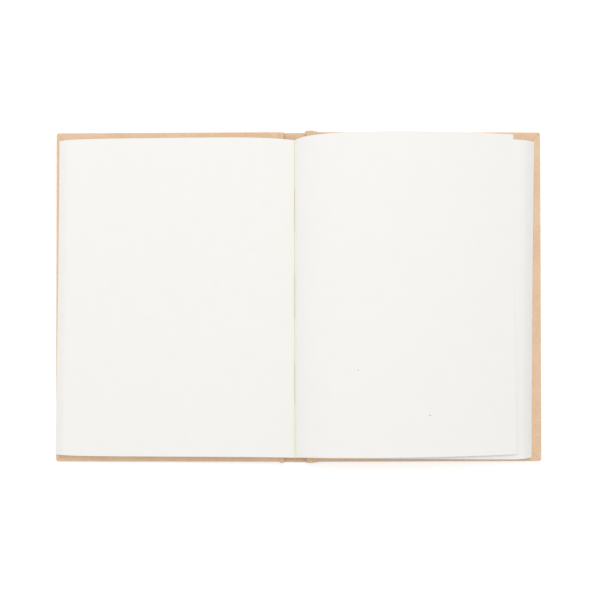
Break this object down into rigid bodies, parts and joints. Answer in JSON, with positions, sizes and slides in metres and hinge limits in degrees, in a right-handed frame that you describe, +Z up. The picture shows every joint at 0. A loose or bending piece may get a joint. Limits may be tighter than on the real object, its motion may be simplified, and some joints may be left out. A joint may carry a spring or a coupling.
{
  "type": "opened notebook",
  "caption": "Hardcover notebook lying open at its middle, blank leaves bowed up on one side, kraft paper covered boards.",
  "frame": {"origin": "middle of the open case on the table, at the bottom centre of its bounding box", "axes": "+X from the front cover towards the back cover, +Y from tail to head, +Z up from the table"},
  "size_m": [0.323, 0.2206, 0.0284],
  "materials": {
    "page_paper": "uncoated, matt",
    "kraft_paper": "uncoated brown kraft, matt, fine fibres",
    "grey_board": "raw grey board",
    "lining_cloth": "open cotton weave",
    "thread": "twisted linen thread"
  },
  "bodies": {
    "block": {"text_block": "page_paper", "sewing_thread": "thread", "spine_lining": "lining_cloth", "spine_card": "grey_board", "spine_paper": "kraft_paper", "front_joint_paper": "kraft_paper", "back_joint_paper": "kraft_paper"},
    "front_cover": {"front_board": "grey_board", "front_cover_paper": "kraft_paper", "front_pastedown": "kraft_paper"},
    "back_cover": {"back_board": "grey_board", "back_cover_paper": "kraft_paper", "back_pastedown": "kraft_paper"}
  },
  "joints": [
    {"name": "front_hinge", "type": "hinge", "parent": "block", "child": "front_cover", "pos_m": [-0.01295, 0, 0.00311], "axis": [0, -1, 0], "range_deg": [0, 90]},
    {"name": "back_hinge", "type": "hinge", "parent": "block", "child": "back_cover", "pos_m": [0.01295, 0, 0.00311], "axis": [0, 1, 0], "range_deg": [0, 90]}
  ]
}
